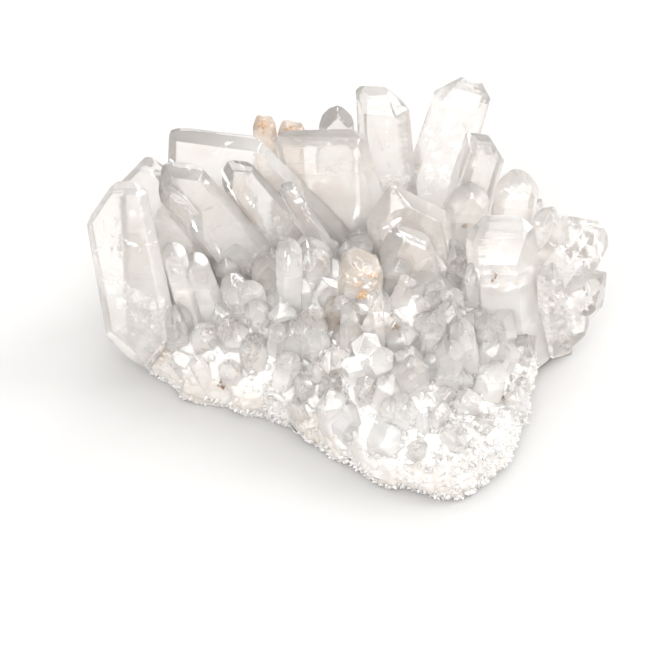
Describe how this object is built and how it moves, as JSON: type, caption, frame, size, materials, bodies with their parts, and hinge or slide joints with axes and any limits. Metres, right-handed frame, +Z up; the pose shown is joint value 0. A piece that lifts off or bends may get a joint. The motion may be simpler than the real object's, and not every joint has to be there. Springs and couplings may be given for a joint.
{
  "type": "quartz crystal cluster",
  "caption": "Cluster of clear six-sided quartz points and flat blades leaning out from a plate of milky quartz, cut flat underneath to stand on a shelf.",
  "frame": {"origin": "middle of the plate's flat underside, on the surface the cluster lies on", "axes": "+Z up, +X along the cluster's longest side, +Y towards the tall points at the back"},
  "size_m": [0.1317, 0.103, 0.0631],
  "materials": {
    "clear_quartz": "clear natural quartz with flat glossy faces and pale veils inside",
    "smoky_quartz": "clear quartz with a faint brown-grey cast and a rough broken end",
    "stained_quartz": "clear quartz, fractured and stained rust brown",
    "frosted_quartz": "cloudy quartz crusted with fine sparkling grains",
    "milky_quartz": "cloudy white quartz, rough and grainy round the rim"
  },
  "bodies": {
    "root": {"back_point": "clear_quartz", "back_stub": "clear_quartz", "centre_blade": "clear_quartz", "corner_lump_1": "frosted_quartz", "corner_lump_2": "frosted_quartz", "corner_lump_3": "frosted_quartz", "corner_lump_4": "frosted_quartz", "fan_blade": "clear_quartz", "front_left_1": "clear_quartz", "front_left_2": "clear_quartz", "front_left_3": "clear_quartz", "front_middle": "clear_quartz", "front_right_1": "clear_quartz", "front_right_2": "clear_quartz", "front_right_3": "clear_quartz", "left_blade_1": "clear_quartz", "left_blade_2": "clear_quartz", "left_middle": "clear_quartz", "middle_point_1": "clear_quartz", "middle_point_2": "clear_quartz", "middle_point_3": "clear_quartz", "plate": "milky_quartz", "rear_left_1": "clear_quartz", "rear_left_2": "clear_quartz", "rear_left_3": "clear_quartz", "rear_right_1": "clear_quartz", "rear_right_2": "clear_quartz", "rear_right_3": "clear_quartz", "right_back": "clear_quartz", "right_point": "clear_quartz", "rim_block_1": "frosted_quartz", "rim_block_2": "frosted_quartz", "rusty_break": "stained_quartz", "slender_point_1": "clear_quartz", "slender_point_2": "clear_quartz", "small_point": "clear_quartz", "smoky_point": "smoky_quartz", "stained_stub_1": "stained_quartz", "stained_stub_2": "stained_quartz", "stout_point": "clear_quartz", "tall_point": "clear_quartz"}
  },
  "joints": []
}
